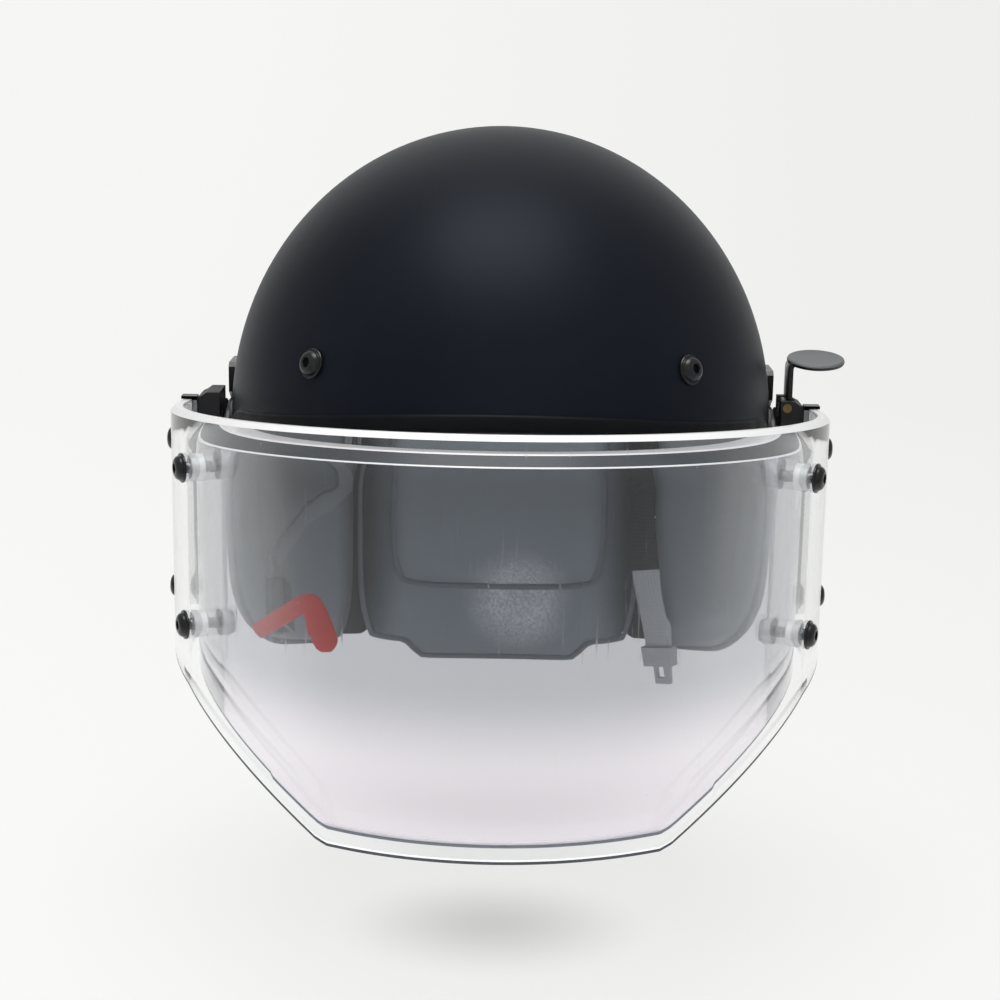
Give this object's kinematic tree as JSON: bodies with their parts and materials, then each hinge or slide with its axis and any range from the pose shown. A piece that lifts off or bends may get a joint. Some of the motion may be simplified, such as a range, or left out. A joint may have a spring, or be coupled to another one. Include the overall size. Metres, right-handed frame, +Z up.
{
  "type": "tactical helmet",
  "caption": "Full-coverage protective helmet with padded ear and nape guards, chin harness and a lifting two-layer clear visor held by a thumb latch.",
  "frame": {"origin": "head seat: centre of the shell's inside at its widest level, where the wearer's head sits", "axes": "+X is the wearer's left, -Y is the front with the visor, +Z is up towards the crown"},
  "size_m": [0.3167, 0.3235, 0.291],
  "materials": {
    "shell_paint": "matte fine-textured black paint on the hard shell",
    "trim_rubber": "satin black rubber edge trim",
    "black_steel": "black coated steel, satin",
    "plated_steel": "bright plated steel, satin",
    "liner_fabric": "gray knitted liner fabric over foam",
    "guard_fabric": "gray coated cover fabric over padding",
    "webbing": "dark gray woven webbing",
    "buckle_plastic": "black moulded plastic",
    "red_tab": "orange-red soft release tab",
    "clear_sheet": "clear polished polycarbonate sheet with bright cut edges",
    "clear_panel": "thick clear laminated panel with a faint pink tint",
    "hub_plastic": "black moulded hinge hub",
    "pin_brass": "bare brass pin end"
  },
  "bodies": {
    "helmet": {"shell": "shell_paint", "edge_trim": "trim_rubber", "shell_screws": "black_steel", "shell_nuts": "plated_steel", "crown_pad": "liner_fabric", "brow_pad": "liner_fabric", "side_pad_left": "liner_fabric", "side_pad_right": "liner_fabric", "rear_pad": "liner_fabric", "ear_guard_left": "guard_fabric", "ear_guard_right": "guard_fabric", "nape_guard": "guard_fabric", "nape_pad": "liner_fabric", "seam_strips": "guard_fabric", "chin_strap_left": "webbing", "chin_strap_right": "webbing", "nape_strap": "webbing", "buckle_socket": "buckle_plastic", "buckle_plug": "buckle_plastic", "release_tab": "red_tab", "hinge_plate_left": "black_steel", "hinge_plate_right": "black_steel", "hinge_screws": "black_steel", "pivot_pins": "plated_steel", "pivot_nuts": "black_steel"},
    "visor": {"outer_sheet": "clear_sheet", "inner_panel": "clear_panel", "panel_screws": "black_steel", "panel_collars": "plated_steel", "panel_nuts": "plated_steel", "carrier_arm_left": "plated_steel", "carrier_arm_right": "plated_steel", "arm_screws": "black_steel", "arm_nuts": "plated_steel", "hinge_hub_left": "hub_plastic", "hinge_hub_right": "hub_plastic", "lever_pin": "pin_brass", "latch_spring": "plated_steel"},
    "lever": {"latch_lever": "black_steel"}
  },
  "joints": [
    {"name": "visor_lift", "type": "hinge", "parent": "helmet", "child": "visor", "pos_m": [0, 0.01, -0.018], "axis": [-1, 0, 0], "range_deg": [0, 80]},
    {"name": "latch_lift", "type": "hinge", "parent": "visor", "child": "lever", "pos_m": [0.1344, 0, 0.0055], "axis": [0, -1, 0], "range_deg": [0, 8], "stiffness_Nm_per_rad": 0.15, "springref_deg": -5.73}
  ]
}
